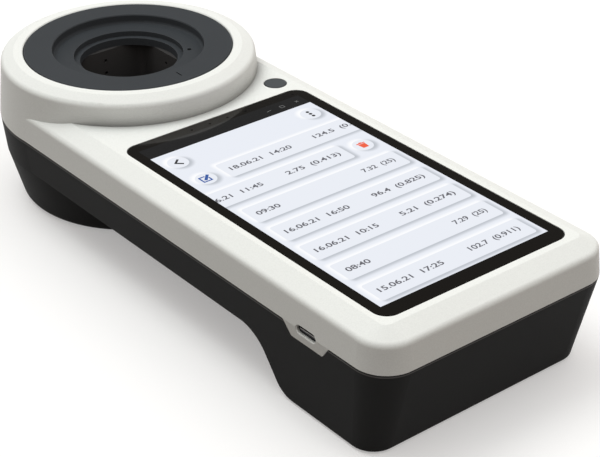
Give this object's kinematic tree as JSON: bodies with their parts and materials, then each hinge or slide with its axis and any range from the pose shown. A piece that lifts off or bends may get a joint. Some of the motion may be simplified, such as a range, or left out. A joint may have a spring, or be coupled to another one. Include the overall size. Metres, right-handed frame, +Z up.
{
  "type": "photometer",
  "caption": "Bench photometer: flat housing with touch display, round measuring head with a deep vial well and optical chamber, push button and charging port.",
  "frame": {"origin": "on the rest plane, under the axis of the measuring well", "axes": "+Z up along the well, -Y from the head towards the user and the foot of the display, -X is the side of the charging port"},
  "size_m": [0.0907, 0.2303, 0.0521],
  "materials": {
    "shell_grey": "fine satin texture",
    "shell_black": "fine matt texture",
    "button_grey": "satin",
    "screen_glass": "polished",
    "display": "lit display",
    "ring_black": "satin",
    "chamber_black": "dull",
    "foam": "soft foam",
    "seal_rubber": "matt",
    "feet_rubber": "matt",
    "sheet_steel": "pressed sheet",
    "port_steel": "drawn sheet",
    "screw_steel": "zinc plated",
    "board_green": "lacquered board",
    "chip_black": "moulded",
    "socket_white": "moulded",
    "ribbon_orange": "film",
    "pack_blue": "shrink sleeve",
    "lens_clear": "clear"
  },
  "bodies": {
    "housing": {"beam_screws": "screw_steel", "board_chips": "chip_black", "board_screws": "screw_steel", "case_screws": "screw_steel", "chamber_pad": "foam", "chamber_screws": "screw_steel", "cover_glass": "screen_glass", "display_panel": "display", "display_ribbon": "ribbon_orange", "display_socket": "socket_white", "display_tray": "sheet_steel", "glass_adhesive": "foam", "head_ring": "ring_black", "light_sources": "lens_clear", "light_windows": "lens_clear", "lower_shell": "shell_black", "main_board": "board_green", "optical_chamber": "chamber_black", "pack_pad": "foam", "pack_strap": "sheet_steel", "photodiodes": "lens_clear", "port_board": "board_green", "port_gasket": "seal_rubber", "port_receptacle": "port_steel", "port_screws": "screw_steel", "port_tongue": "chip_black", "power_pack": "pack_blue", "radio_module": "sheet_steel", "receiver_board": "board_green", "receiver_holder": "chamber_black", "ring_gasket": "seal_rubber", "ring_screws": "screw_steel", "rubber_feet": "feet_rubber", "scatter_board": "board_green", "scatter_holder": "chamber_black", "shell_seal": "seal_rubber", "source_board": "board_green", "source_holder": "chamber_black", "strap_screws": "screw_steel", "switch_board": "board_green", "switch_housing": "chip_black", "switch_screws": "screw_steel", "tray_screws": "screw_steel", "upper_shell": "shell_grey"},
    "button": {"power_button": "button_grey", "switch_plunger": "socket_white"}
  },
  "joints": [
    {"name": "power_press", "type": "slide", "parent": "housing", "child": "button", "axis": [0, 0, -1], "range_m": [0, 0.0006], "stiffness_N_per_m": 800, "springref_m": -0.0005}
  ]
}
